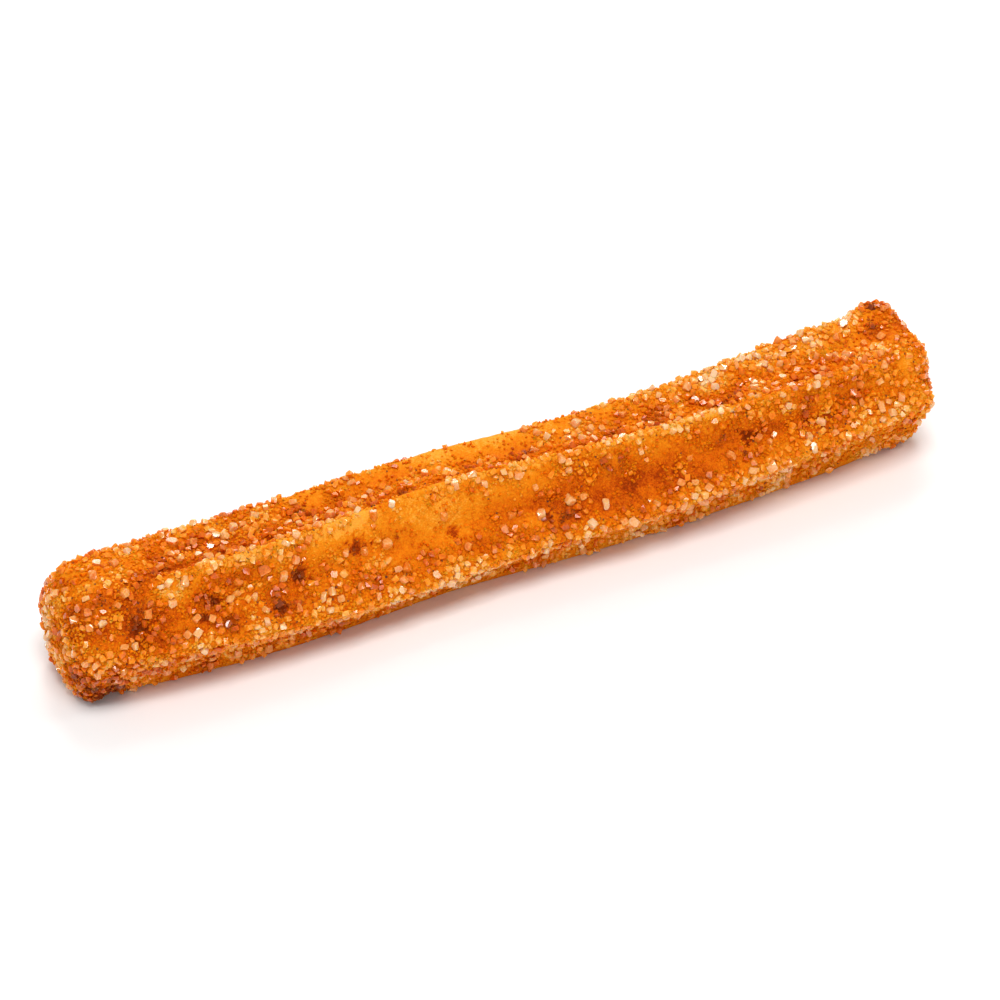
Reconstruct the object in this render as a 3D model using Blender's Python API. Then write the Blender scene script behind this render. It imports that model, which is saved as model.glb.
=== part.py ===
"""A fried churro: one ridged stick of dough with coarse sugar stuck to its crust.

It lies along X on its two lowest ridges, with its near end at -X and its shown side facing -Y.
Metres, +Z up. The origin is under the middle of the stick, on the surface that it rests on.
"""

import math
import random

import bmesh
import bpy
from mathutils import Euler, Vector, noise

MM = 0.001

# The stick
LENGTH = 136 * MM
CREST_RADIUS = 10.0 * MM  # from the axis to the top of a ridge
FLUTE_HOLLOWS = (0.7 * MM, 1.1 * MM)  # below a flat face between its two ridges, at the near and far end
FLUTE_SHAPE = 1.45  # above 1 the ridges are rounded, and the flutes narrower than their spacing
ROUND_RADII = (9.4 * MM, 9.7 * MM)  # of the near and far tip, where the ridges fade out

# Ridges, in degrees up from the front. Ridge 0 and ridge 1 border the wide flute that faces the viewer.
RIDGE_ANGLES = (-1, 62, 121, 180, 241, 299)
RIDGES = len(RIDGE_ANGLES)
FRONT_SPREAD = 8  # how far each of those two leans out where the front flute is widest
WIDEST_AT = 0.42  # station, from 0 at the near end to 1 at the far end
NARROW_AFTER = 0.6  # stations on from there to where they lean in by as much

# Slow changes along a ridge: waves along the stick, offset from ridge to ridge, offset of this use
RIDGE_WANDER = 3.5
WANDER_WAVES = (4.0, 7.3, 0.5)
RIDGE_UNEVEN = 0.025  # share of the crest radius
UNEVEN_WAVES = (5.0, 3.1, 9.5)

# Swelling and waist: station, reach, share of the crest radius
SWELLS = ((0.33, 0.14, 0.02), (0.56, 0.09, -0.03), (0.86, 0.13, 0.03))

# The axis bows towards the front, with a slight kink back before the middle, and its ends rise.
BOW = 3.1 * MM
KINK = 1.8 * MM
KINK_AT = 0.42
KINK_REACH = 0.13
END_RISE = 0.5 * MM
AXIS_Y = 1.5 * MM  # brings the middle of the whole stick over the origin
AXIS_HEIGHT = 8.35 * MM

# Blunt ends: the rounding reaches this far along the side, more at the top of the near end.
NEAR_ROUNDING = 3.2 * MM
NEAR_TOP_ROUNDING = 7.5 * MM
NEAR_TOP_ANGLE = 105
FAR_ROUNDING = 2.8 * MM
END_SQUARENESS = 3.0
END_DIMPLE = 0.5 * MM
DIMPLE_REACH = 0.5  # share of the radius
ROUND_SHARES = (0.7, 0.55)  # of the ridges' relief that is gone at the near and far tip
ROUND_REACHES = (0.12, 0.08)  # stations
FAR_SLANT = 0.06  # the far end leans out this much at its top
SLANT_FROM = 0.75  # station

# Nubs of torn dough at the end corners: station, angle, height, reach
NUBS = ((0.015, -52, 1.0 * MM, 2.2 * MM), (0.975, 123, 1.2 * MM, 3.2 * MM))

# Lumps of the fried crust: size across, height
LUMPS = ((13 * MM, 0.22 * MM), (4.5 * MM, 0.10 * MM))

# Faces of the dough
FACES_AROUND = 8 * RIDGES
FACES_ALONG = 50
CAP_SHARE = 0.12  # share of the faces along that make one end

# Coarse sugar
GRAINS = 225
GRAIN_LENGTHS = (1.0 * MM, 1.6 * MM)
GRAIN_WIDTHS = (0.6, 0.85)  # shares of the length
GRAIN_HEIGHTS = (0.55, 0.8)
GRAIN_CROOKED = 0.12  # how far a corner may be out of place, as a share of the side
GRAIN_STANDS = 0.10  # share of its length that a grain's middle stands above the crust
GRAIN_SPACING = 2.9 * MM
GRAIN_LOWEST = 1.6 * MM  # keeps the resting ridges clear
TIP_MARGIN = 0.001  # no grain starts this near a tip, where the meridians meet
COVER_MARGIN = 1.2  # over the most cover found, for what lies between the points tried
SEED = 7

TABLETOP = (1.5 * LENGTH, 0.5 * LENGTH, 0.2 * LENGTH)
SLIVER = 0.02 * MM  # thinner faces than this are merged away

DOUGH_COLOUR = (0.70, 0.21, 0.02, 1.0)
DOUGH_ROUGHNESS = 0.55
SHARP_DEGREES = 35


def smooth(value):
    value = min(max(value, 0.0), 1.0)
    return value * value * (3.0 - 2.0 * value)


def mix(low, high, share):
    return low + (high - low) * share


def hill(distance, reach):
    return math.exp(-((distance / reach) ** 2))


def ridge_noise(ridge, station, waves, ridge_offset, use_offset):
    return noise.noise(Vector((waves * station, ridge_offset * ridge, use_offset)))


def ridge_angle(ridge, station):
    """Where a ridge runs, in degrees up from the front. Ridge numbers go on past a full turn."""
    turns, ridge = divmod(ridge, RIDGES)
    spread = FRONT_SPREAD * math.cos(math.pi * (station - WIDEST_AT) / NARROW_AFTER)
    lean = {0: -spread, 1: spread}.get(ridge, 0.0)
    wander = RIDGE_WANDER * ridge_noise(ridge, station, *WANDER_WAVES)
    return 360.0 * turns + RIDGE_ANGLES[ridge] + lean + wander


def crest_radius(ridge, station):
    swell = sum(size * hill(station - at, reach) for at, reach, size in SWELLS)
    uneven = RIDGE_UNEVEN * ridge_noise(ridge % RIDGES, station, *UNEVEN_WAVES)
    return CREST_RADIUS * (1.0 + swell + uneven)


def section(phase, station):
    """Angle and radius of the crust. A whole phase is on a ridge, a half is the bottom of a flute."""
    ridge = math.floor(phase)
    share = phase - ridge
    low, high = ridge_angle(ridge, station), ridge_angle(ridge + 1, station)
    angle = math.radians(mix(low, high, share))
    crest = mix(crest_radius(ridge, station), crest_radius(ridge + 1, station), smooth(share))
    flat_sag = crest * (1.0 - math.cos(math.radians(high - low) / 2))
    depth = flat_sag + mix(*FLUTE_HOLLOWS, station)
    star = crest - depth * math.sin(math.pi * share) ** FLUTE_SHAPE
    near, far = (
        share_gone * (1.0 - smooth(from_tip / reach))
        for share_gone, from_tip, reach in zip(ROUND_SHARES, (station, 1.0 - station), ROUND_REACHES)
    )
    return angle, mix(star, mix(*ROUND_RADII, station), near + far)


def end_face(share):
    """A blunt end from its middle (0) to the side (1): how far out it is, and how far back."""
    turn = share * math.pi / 2
    power = 2.0 / END_SQUARENESS
    return math.sin(turn) ** power, 1.0 - math.cos(turn) ** power


def near_rounding(angle):
    """Reach of the near end's rounding, longest at the top."""
    upward = smooth(0.5 + 0.5 * math.cos(angle - math.radians(NEAR_TOP_ANGLE)))
    return mix(NEAR_ROUNDING, NEAR_TOP_ROUNDING, upward)


def axis_point(station):
    y = AXIS_Y - BOW * 4.0 * station * (1.0 - station) + KINK * hill(station - KINK_AT, KINK_REACH)
    return Vector(((station - 0.5) * LENGTH, y, AXIS_HEIGHT + END_RISE * (2.0 * station - 1.0) ** 2))


def lump_height(point):
    """Unevenness of the crust at a point of the smooth stick."""
    height = sum(depth * noise.noise(point / size) for size, depth in LUMPS)
    for station, degrees, tall, reach in NUBS:
        angle = math.radians(degrees)
        out = Vector((0.0, -math.cos(angle), math.sin(angle)))
        height += tall * hill((point - axis_point(station) - CREST_RADIUS * out).length, reach)
    return height


def crust_point(phase, along):
    """A point of the crust. Along runs from 0 at the near tip to 1 at the far tip."""
    station = min(max((along - CAP_SHARE) / (1.0 - 2.0 * CAP_SHARE), 0.0), 1.0)
    angle, radius = section(phase, station)
    near_edge = -LENGTH / 2 + near_rounding(angle)
    far_edge = LENGTH / 2 - FAR_ROUNDING
    x, out = mix(near_edge, far_edge, station), 1.0
    if along < CAP_SHARE:
        out, back = end_face(along / CAP_SHARE)
        x = mix(-LENGTH / 2, near_edge, back) + END_DIMPLE * hill(out, DIMPLE_REACH)
    if along > 1.0 - CAP_SHARE:
        out, back = end_face((1.0 - along) / CAP_SHARE)
        x = mix(LENGTH / 2, far_edge, back) - END_DIMPLE * hill(out, DIMPLE_REACH)
    outward = Vector((0.0, -math.cos(angle), math.sin(angle)))
    centre = axis_point(x / LENGTH + 0.5)
    slant = FAR_SLANT * smooth((station - SLANT_FROM) / (1.0 - SLANT_FROM)) * out * radius * outward.z
    point = centre + out * radius * outward + Vector((slant, 0.0, 0.0))
    return point + out * lump_height(point) * outward


def crust_frame(phase, along):
    """A point of the crust, its outward normal, and how much surface a small step covers there."""
    step = 1e-4
    point = crust_point(phase, along)
    across = (crust_point(phase + step, along) - point) / step
    onward = (crust_point(phase, along + step) - point) / step
    normal = onward.cross(across)
    return point, normal.normalized(), normal.length


def new_object(name, bm, collection):
    mesh = bpy.data.meshes.new(name)
    bm.to_mesh(mesh)
    bm.free()
    obj = bpy.data.objects.new(name, mesh)
    collection.objects.link(obj)
    return obj


def make_dough(collection):
    """A ball whose poles become the two ends and whose meridians become the ridges."""
    bm = bmesh.new()
    bmesh.ops.create_uvsphere(bm, u_segments=FACES_AROUND, v_segments=FACES_ALONG, radius=1.0)
    for vertex in bm.verts:
        phase = RIDGES * math.atan2(vertex.co.y, vertex.co.x) / math.tau
        along = math.acos(min(max(vertex.co.z, -1.0), 1.0)) / math.pi
        vertex.co = crust_point(phase, along)
    return new_object("churro", bm, collection)


def scatter_grains(rng):
    """Places for the coarse grains, evenly spread over the crust and never closer than their spacing."""
    places = []
    most_cover = COVER_MARGIN * max(crust_frame(phase / 4, 0.5)[2] for phase in range(4 * RIDGES))
    while len(places) < GRAINS:
        point, normal, cover = crust_frame(rng.uniform(0, RIDGES), rng.uniform(TIP_MARGIN, 1 - TIP_MARGIN))
        if rng.random() * most_cover > cover or point.z < GRAIN_LOWEST:
            continue
        if all((point - other).length > GRAIN_SPACING for other, _ in places):
            places.append((point, normal))
    return places


def make_grain(number, point, normal, rng, collection):
    """One crystal: a small block, a little crooked, part sunk in the crust."""
    length = mix(*GRAIN_LENGTHS, rng.random() ** 2)
    bm = bmesh.new()
    bmesh.ops.create_cube(bm, size=1.0)
    sides = length * Vector((1.0, rng.uniform(*GRAIN_WIDTHS), rng.uniform(*GRAIN_HEIGHTS)))
    turn = Euler([rng.uniform(0, math.tau) for _ in range(3)]).to_matrix()
    for vertex in bm.verts:
        crooked = Vector([rng.uniform(-GRAIN_CROOKED, GRAIN_CROOKED) for _ in range(3)])
        vertex.co = turn @ ((vertex.co + crooked) * sides) + point + normal * length * GRAIN_STANDS
    return new_object(f"grain_{number:03d}", bm, collection)


def make_tabletop(collection):
    """A block under the stick that trims its two lowest ridges flat."""
    bm = bmesh.new()
    bmesh.ops.create_cube(bm, size=1.0)
    for vertex in bm.verts:
        vertex.co = (vertex.co - Vector((0, 0, 0.5))) * Vector(TABLETOP)
    return new_object("tabletop", bm, collection)


def apply_boolean(obj, operation, collection):
    boolean = obj.modifiers.new(operation.lower(), "BOOLEAN")
    boolean.operation = operation
    boolean.operand_type = "COLLECTION"
    boolean.collection = collection
    boolean.solver = "EXACT"
    bpy.context.view_layer.objects.active = obj
    bpy.ops.object.modifier_apply(modifier=boolean.name)
    for other in list(collection.objects):
        bpy.data.objects.remove(other, do_unlink=True)


def drop_slivers(obj):
    """Merges points that the cuts left almost together."""
    bm = bmesh.new()
    bm.from_mesh(obj.data)
    bmesh.ops.triangulate(bm, faces=bm.faces)
    bmesh.ops.dissolve_degenerate(bm, dist=SLIVER, edges=bm.edges)
    bmesh.ops.triangulate(bm, faces=bm.faces)
    bm.to_mesh(obj.data)
    bm.free()


def crust_material():
    material = bpy.data.materials.new("fried_dough")
    material.use_nodes = True
    shader = material.node_tree.nodes["Principled BSDF"]
    shader.inputs["Base Color"].default_value = DOUGH_COLOUR
    shader.inputs["Roughness"].default_value = DOUGH_ROUGHNESS
    shader.inputs["Metallic"].default_value = 0.0
    return material


def new_collection(name):
    collection = bpy.data.collections.new(name)
    bpy.context.scene.collection.children.link(collection)
    return collection


def main():
    for obj in list(bpy.data.objects):
        bpy.data.objects.remove(obj, do_unlink=True)
    stick, sugar, trim = new_collection("churro"), new_collection("sugar"), new_collection("trim")
    rng = random.Random(SEED)
    churro = make_dough(stick)
    for number, (point, normal) in enumerate(scatter_grains(rng)):
        make_grain(number, point, normal, rng, sugar)
    apply_boolean(churro, "UNION", sugar)
    make_tabletop(trim)
    apply_boolean(churro, "DIFFERENCE", trim)
    drop_slivers(churro)
    churro.data.materials.clear()
    churro.data.materials.append(crust_material())
    churro.data.shade_smooth()
    churro.data.set_sharp_from_angle(angle=math.radians(SHARP_DEGREES))


main()
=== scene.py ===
"""The looks of one sugared churro: fried crust, sugar crystals, cinnamon, and the light and camera around it.

Metres, +Z up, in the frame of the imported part: the stick lies along X, and its shown side faces -Y.
"""

import functools
import math
import random

import bmesh
import bpy
import numpy as np
from mathutils import Euler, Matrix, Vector, noise


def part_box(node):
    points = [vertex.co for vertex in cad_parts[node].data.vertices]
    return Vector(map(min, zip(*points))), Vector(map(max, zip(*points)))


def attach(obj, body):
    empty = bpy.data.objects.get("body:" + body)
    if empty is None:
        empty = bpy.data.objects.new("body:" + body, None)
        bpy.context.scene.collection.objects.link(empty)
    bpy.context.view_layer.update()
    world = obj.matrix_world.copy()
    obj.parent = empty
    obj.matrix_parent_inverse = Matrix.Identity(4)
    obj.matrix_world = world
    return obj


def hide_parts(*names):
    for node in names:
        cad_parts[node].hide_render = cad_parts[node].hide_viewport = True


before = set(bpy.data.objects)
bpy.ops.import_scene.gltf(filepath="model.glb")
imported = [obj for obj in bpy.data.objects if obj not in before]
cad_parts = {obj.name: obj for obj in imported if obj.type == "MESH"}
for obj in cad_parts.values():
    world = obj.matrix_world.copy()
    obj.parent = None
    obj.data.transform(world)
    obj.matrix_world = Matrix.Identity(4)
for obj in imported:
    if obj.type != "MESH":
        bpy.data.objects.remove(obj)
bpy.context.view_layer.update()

MM = 0.001

# The stick, with the same sizes and rules as the part's source
LENGTH = 136 * MM
CREST_RADIUS = 10.0 * MM
FLUTE_HOLLOWS = (0.7 * MM, 1.1 * MM)
FLUTE_SHAPE = 1.45
ROUND_RADII = (9.4 * MM, 9.7 * MM)
RIDGE_ANGLES = (-1, 62, 121, 180, 241, 299)
RIDGES = len(RIDGE_ANGLES)
FRONT_SPREAD = 8
WIDEST_AT = 0.42
NARROW_AFTER = 0.6
RIDGE_WANDER = 3.5
WANDER_WAVES = (4.0, 7.3, 0.5)
RIDGE_UNEVEN = 0.025
UNEVEN_WAVES = (5.0, 3.1, 9.5)
SWELLS = ((0.33, 0.14, 0.02), (0.56, 0.09, -0.03), (0.86, 0.13, 0.03))
BOW = 3.1 * MM
KINK = 1.8 * MM
KINK_AT = 0.42
KINK_REACH = 0.13
END_RISE = 0.5 * MM
AXIS_Y = 1.5 * MM
AXIS_HEIGHT = 8.35 * MM
NEAR_ROUNDING = 3.2 * MM
NEAR_TOP_ROUNDING = 7.5 * MM
NEAR_TOP_ANGLE = 105
FAR_ROUNDING = 2.8 * MM
END_SQUARENESS = 3.0
END_DIMPLE = 0.5 * MM
DIMPLE_REACH = 0.5
ROUND_SHARES = (0.7, 0.55)
ROUND_REACHES = (0.12, 0.08)
FAR_SLANT = 0.06
SLANT_FROM = 0.75
NUBS = ((0.015, -52, 1.0 * MM, 2.2 * MM), (0.975, 123, 1.2 * MM, 3.2 * MM))
LUMPS = ((13 * MM, 0.22 * MM), (4.5 * MM, 0.10 * MM))
CAP_SHARE = 0.12

# Its coarse crystals, drawn in the same order from the same seed
GRAINS = 225
GRAIN_LENGTHS = (1.0 * MM, 1.6 * MM)
GRAIN_WIDTHS = (0.6, 0.85)
GRAIN_HEIGHTS = (0.55, 0.8)
GRAIN_CROOKED = 0.12
GRAIN_STANDS = 0.10
GRAIN_SPACING = 2.9 * MM
GRAIN_LOWEST = 1.6 * MM
TIP_MARGIN = 0.001
COVER_MARGIN = 1.2
SEED = 7

# The fine skin: faces around and along, and the share of the rings that one end takes
SKIN_AROUND = 200
SKIN_ALONG = 470
SKIN_CAP = 0.08  # less than the part's, because the ends are small
SKIN_MAP = SKIN_AROUND / (SKIN_AROUND + 1)  # of the map's width, which leaves room for the faces across the seam
FINE_LUMPS = ((2.1 * MM, 0.070 * MM), (0.9 * MM, 0.040 * MM), (0.5 * MM, 0.018 * MM))
STREAK_HEIGHT = 0.05 * MM  # faint lines along the stick, left by the piping nozzle
STREAK_LENGTH = 14 * MM
STREAKS_PER_RIDGE = 7
STREAK_OFFSET = 3.3

# Uneven sugar: station, phase, reach in stations, reach in phase, amount
SUGAR_PATCHES = (
    (0.00, 0.90, 0.10, 2.20, -0.05),  # the whole near end
    (0.04, 1.00, 0.05, 0.30, -0.10),
    (0.00, 0.50, 0.03, 0.60, -0.10),
    (0.18, 1.00, 0.08, 0.10, 0.55),
    (0.37, 1.05, 0.06, 0.14, -0.60),
    (0.36, 1.10, 0.04, 0.15, -0.30),
    (0.09, 0.20, 0.03, 0.20, -0.30),
    (0.09, 1.40, 0.05, 0.20, 0.40),
    (0.08, 5.55, 0.07, 0.35, 0.35),
    (0.30, 1.40, 0.07, 0.20, 0.50),
    (0.38, 1.25, 0.10, 0.14, 0.40),
    (0.60, 1.60, 0.04, 0.25, 0.55),
    (0.74, 1.20, 0.10, 0.14, 0.50),
    (0.79, 1.85, 0.10, 0.25, 0.50),
    (0.78, 1.65, 0.12, 0.25, 0.30),
    (0.50, 0.02, 0.48, 0.13, 0.25),  # along the lower front ridge
    (0.92, 0.10, 0.10, 0.25, 0.20),
    # Partly a painted shadow, as if a second churro lay across: less sugar low on the front flute near the middle
    (0.61, 0.35, 0.11, 0.30, -0.75),
    (0.67, 0.85, 0.05, 0.15, -0.40),
    (0.94, 0.80, 0.07, 0.18, -0.35),
    (0.88, 2.05, 0.14, 0.22, 0.45),  # the far half of the top's outline
    (0.22, 2.05, 0.14, 0.22, 0.30),
    (0.27, 1.85, 0.07, 0.25, -0.25),
    (0.48, 1.90, 0.18, 0.30, -0.90),  # the smooth top
    (0.66, 1.92, 0.05, 0.18, -0.40),
    (0.37, 0.60, 0.07, 0.26, -0.90),  # the smooth middle of the front flute
    (0.47, 0.78, 0.06, 0.20, -0.75),
    (0.25, 0.86, 0.12, 0.12, -0.55),
    (0.65, 0.62, 0.05, 0.20, -0.35),
    (0.78, 0.62, 0.06, 0.20, -0.30),
    (0.98, 1.60, 0.05, 0.40, -0.40),
    (0.25, 5.60, 0.35, 0.40, 0.40),
    (0.75, 5.30, 0.20, 0.30, 0.30),
    (0.92, 5.75, 0.11, 0.25, -0.60),
)
SUGAR_EVENLY = 0.45
SUGAR_ON_RIDGES = 0.10
SUGAR_THIN = 0.26  # what clumping alone leaves between the clumps
SUGAR_LEAST = 0.004  # what the smoothest patches keep
SUGAR_CLUMPS = ((8.0 * MM, 0.45), (3.0 * MM, 0.75))  # size, amount
SUGAR_LOWEST = 0.4 * MM  # the resting strips stay bare
SUGAR_OFF_SPOTS = 0.90  # the share that a dark spot lacks
PATCH_ENDS = 3.0  # reaches from its middle, past which a patch does nothing

# Uneven frying, in the same form: above 0 the dough is redder and browner, below 0 more golden. Some rows are
# painted light and shade instead, as marked.
FRYING_AND_PAINTED_LIGHT_PATCHES = (
    (0.00, 1.20, 0.07, 1.60, 0.35),
    (0.02, 0.55, 0.05, 0.35, 0.55),
    (0.11, 0.50, 0.03, 0.20, 0.40),
    (0.13, 1.60, 0.13, 0.25, 0.40),
    (0.23, 1.50, 0.08, 0.20, 0.35),
    (0.21, 0.53, 0.02, 0.15, 0.45),
    (0.29, 0.72, 0.025, 0.15, 0.45),
    (0.52, 0.50, 0.04, 0.20, 0.60),
    (0.55, 0.75, 0.03, 0.15, 0.30),
    # Partly a painted shadow, as if a second churro lay across: a darker crust low on the front flute near the
    # middle
    (0.62, 0.42, 0.09, 0.30, 0.75),
    (0.57, 0.36, 0.05, 0.20, 0.45),
    (0.59, 0.15, 0.05, 0.20, 0.50),
    (0.86, 0.42, 0.05, 0.20, 0.80),
    (0.85, 1.03, 0.05, 0.15, 0.65),
    (0.97, 1.05, 0.03, 0.15, 0.50),
    (0.10, 0.20, 0.03, 0.15, 0.25),
    (0.28, 0.18, 0.05, 0.15, 0.30),
    (0.68, 0.00, 0.10, 0.15, 0.25),
    (0.01, 0.50, 0.03, 0.50, 0.30),
    (0.01, 5.20, 0.03, 0.40, 0.80),
    (0.095, 0.41, 0.03, 0.15, -0.60),
    (0.16, 0.82, 0.10, 0.15, -0.10),
    (0.06, 1.02, 0.04, 0.15, 0.25),
    (0.03, 1.05, 0.045, 0.20, 0.60),
    (0.120, 0.78, 0.03, 0.12, 0.30),
    (0.35, 1.03, 0.05, 0.13, 0.85),
    (0.35, 0.60, 0.03, 0.15, 0.25),
    (0.155, 0.81, 0.03, 0.10, 0.45),
    (0.00, 0.25, 0.015, 0.25, -0.50),
    (0.025, 0.22, 0.02, 0.15, 0.90),
    (0.02, 0.48, 0.03, 0.18, 0.45),
    (0.28, 0.05, 0.05, 0.20, 0.35),
    (0.17, 0.97, 0.09, 0.10, -0.85),
    (0.29, 1.12, 0.04, 0.10, 0.70),
    (0.18, 1.24, 0.09, 0.10, 0.50),
    (0.77, 0.60, 0.05, 0.25, 0.55),
    (0.82, 0.53, 0.03, 0.20, 0.30),
    (0.78, 1.48, 0.09, 0.20, 0.45),
    (0.98, 1.60, 0.05, 0.45, 0.35),
    (0.71, 5.27, 0.03, 0.30, 0.35),
    (0.37, 0.58, 0.06, 0.22, -0.50),
    (0.35, 0.85, 0.07, 0.15, -0.35),
    (0.055, 0.80, 0.03, 0.14, -1.30),
    (0.22, 0.93, 0.10, 0.12, -0.35),
    (0.45, 1.90, 0.13, 0.30, -0.55),
    (0.75, 2.00, 0.20, 0.25, -0.60),
    (0.82, 1.85, 0.14, 0.25, -0.35),
    (0.79, 1.65, 0.12, 0.25, -0.45),
    (0.86, 1.35, 0.18, 0.25, -0.35),
    (0.48, 0.84, 0.06, 0.15, -0.35),
    (0.68, 1.06, 0.05, 0.12, -0.35),
    # Painted light: a paler, more golden crust along the shaded underside, under the lower front ridge
    (0.88, 5.60, 0.17, 0.45, -1.10),
    (0.42, 5.65, 0.18, 0.30, -0.60),
    (0.28, 5.76, 0.22, 0.17, -0.60),
    (0.99, 0.40, 0.04, 0.50, -0.50),
)
FRIED_CLUMPS = ((12.0 * MM, 0.50), (4.5 * MM, 0.58))  # size, amount
FRIED_OFFSET = 11.0  # keeps these clumps from following the sugar's
# The crust is made darker and redder in the flutes than on the ridges
DARKER_IN_FLUTES = 0.50  # from the ridges to the flutes

# Creases along the ridges: phase from the ridge, reach in phase, height, extra sugar, extra frying. The frying
# column is painted light and shade: a paler crest, partly a painted highlight, and a darker groove beside it,
# painted shade.
CREASES = (
    # a paler crust along the crest: partly a painted highlight
    (0.00, 0.060, 0.54 * MM, 0.12, -0.62),
    # a darker, redder crust in the groove beside the ridge: painted shade, on top of the groove's real depth
    (0.19, 0.075, -0.95 * MM, -0.60, 0.60),
)
CREASED = (0.35, 1.0, 0.55, 0.45, 0.55, 0.40)  # how strongly each ridge has them
CREASE_FADES = (0.02, 0.06)  # station where they start, and how soon they are full; the same from the far end
CREASE_UNEVEN = 0.4
CREASE_WAVES = (9.0, 3.7, 1.5)

# Dark spots of the crust: station, phase, reach
DARK_SPOTS = (
    (0.023, 0.43, 1.0 * MM), (0.112, 0.53, 1.1 * MM), (0.191, 0.20, 1.2 * MM), (0.204, 0.03, 0.8 * MM),
    (0.214, 0.57, 1.6 * MM), (0.283, 0.70, 1.7 * MM), (0.405, 0.47, 1.1 * MM), (0.516, 0.30, 1.1 * MM),
    (0.526, 1.50, 0.8 * MM), (0.717, 5.27, 0.9 * MM), (0.799, 5.23, 1.0 * MM), (0.773, 0.57, 1.3 * MM),
    (0.004, 5.17, 3.4 * MM), (0.100, 0.32, 1.0 * MM), (0.990, 1.95, 1.2 * MM),
    (0.15, 3.4, 1.2 * MM), (0.33, 2.6, 1.3 * MM), (0.44, 3.7, 1.0 * MM), (0.62, 2.4, 1.1 * MM),
    (0.68, 3.5, 1.5 * MM), (0.86, 2.7, 1.2 * MM), (0.91, 4.3, 1.3 * MM), (0.24, 4.5, 1.1 * MM),
)
SPOT_DEPTH = 0.12 * MM
SPOT_RAGGED = ((0.45, 0.9), (0.2, 0.5))  # size as a share of the spot's reach, amount
SPOT_RAGGED_LEAST = 0.2
SPOT_ENDS = 2.5  # reaches from its middle, past which a spot does nothing
SPOT_FALL = 0.8  # reaches in which it fades
SPOT_EDGE = (1.5, 0.25)  # how strong it is made, and how much is then cut away, for a firm edge

# Scattered sugar and cinnamon. For each kind: how many, their lengths, how strongly short ones outnumber long
# ones, how far apart they keep, how closely they follow the thick sugar, and how high their middles stand above
# the crust; then how many corners are cut off, how far corners are out of place, how tall they are, and how far
# they lean, in radians. Distances apart, heights and places of corners are shares of a crystal's length.
LARGE = dict(
    count=420, lengths=(0.90 * MM, 1.30 * MM), skew=2.0, apart=0.9, follows=1.0, stands=(0.08, 0.28),
    cuts=8, crooked=0.14, heights=(0.55, 0.85), lean=0.5,
)
MIDDLE = dict(
    count=3200, lengths=(0.50 * MM, 1.15 * MM), skew=1.2, apart=0.72, follows=0.85, stands=(0.02, 0.28),
    cuts=6, crooked=0.16, heights=(0.6, 0.95), lean=0.6,
)
FINE = dict(
    count=16000, lengths=(0.22 * MM, 0.52 * MM), skew=1.1, apart=0.60, follows=0.38, stands=(-0.02, 0.35),
    cuts=0, crooked=0.20, heights=(0.6, 0.95), lean=0.8,
)
CINNAMON = dict(
    count=1600, lengths=(0.13 * MM, 0.32 * MM), skew=1.6, apart=0.9, follows=0.7, stands=(0.12, 0.12),
    cuts=0, crooked=0.20, heights=(0.3, 0.7), lean=0.5,
)
WIDTHS = (0.66, 0.95)
TRIES = 4  # places tried for each crystal that is asked for
FEW_STAND = 3.0  # the higher, the fewer crystals stand far out
PROTOTYPES = 24
PROTOTYPE_SIDE = 0.85
CUBE_CORNERS = 8
CUT_CORNERS = (0.12, 0.48)  # how much of each edge a cut corner takes
GRID_CELL = 1.4 * MM  # over the longest way that two crystals keep apart

# What makes a crystal pale: the draw, thick sugar, clusters, and being far from the dough, which is painted
# see-through light; frying stains it, along with the crust's painted light and shade
PALE_AT_LEAST = 0.13
PALE_BY_DRAW = 0.18
PALE_BY_SUGAR = 0.22
PALE_CLUSTERS = ((3.4 * MM, 0.80),)  # size, amount
CLUSTER_OFFSET = 5.0
# Painted see-through light: a crystal's tip is paler and its base tinted like the dough beneath, in place of light
# passing through the clear crystal
PAINTED_SEE_THROUGH_AT_TIP = 0.36
TIP_MIDDLE = 0.65  # the height, as a share of the length, from which that counts up and down
# Painted inner reflections, along with cracks: the tint wanders from corner to corner of one crystal
CRACKS_AND_PAINTED_REFLECTIONS = 0.10  # from corner to corner of one crystal
STAINED_BY_FRYING_AND_PAINTED_LIGHT = 0.27
STAINED_BY_SPOTS = 0.90

# A crystal's cell in the map: its margin, and how the corners are slanted into it, so that no side is edge on
MAP_MARGIN = 0.2
MAP_SLANT = 0.6
MAP_UPRIGHT = 0.75

# The crust's look. Mottles: size, offset, weight. The shade runs along the tints, from dark spots to bare dough.
CRUST_SHADE = 0.62
CRUST_MOTTLES = ((2.4 * MM, 2.0, 0.45), (0.6 * MM, 5.0, 0.55), (0.22 * MM, 7.0, 0.65))
CRUST_VALUES = (("sugar", -0.12), ("fried_and_painted_light", -0.35), ("spots", -0.55))
CRUST_TINTS = (
    (0.00, (0.200, 0.022, 0.0010)),
    (0.20, (0.420, 0.050, 0.0012)),
    (0.42, (0.680, 0.122, 0.0020)),
    (0.64, (0.790, 0.195, 0.0035)),
    (0.85, (0.840, 0.260, 0.0080)),
    (1.00, (0.930, 0.370, 0.0380)),
)
CRUST_ROUGHNESS = 0.50
ROUGHNESS_MOTTLES = ((3 * MM, 8.0, 0.35),)
BUMP_MOTTLES = ((0.55 * MM, 0.0, 1.0), (0.22 * MM, 4.0, 0.5))
BUMP_DEPTH = 0.35 * MM
NOISE_DETAIL = 2.0

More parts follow.
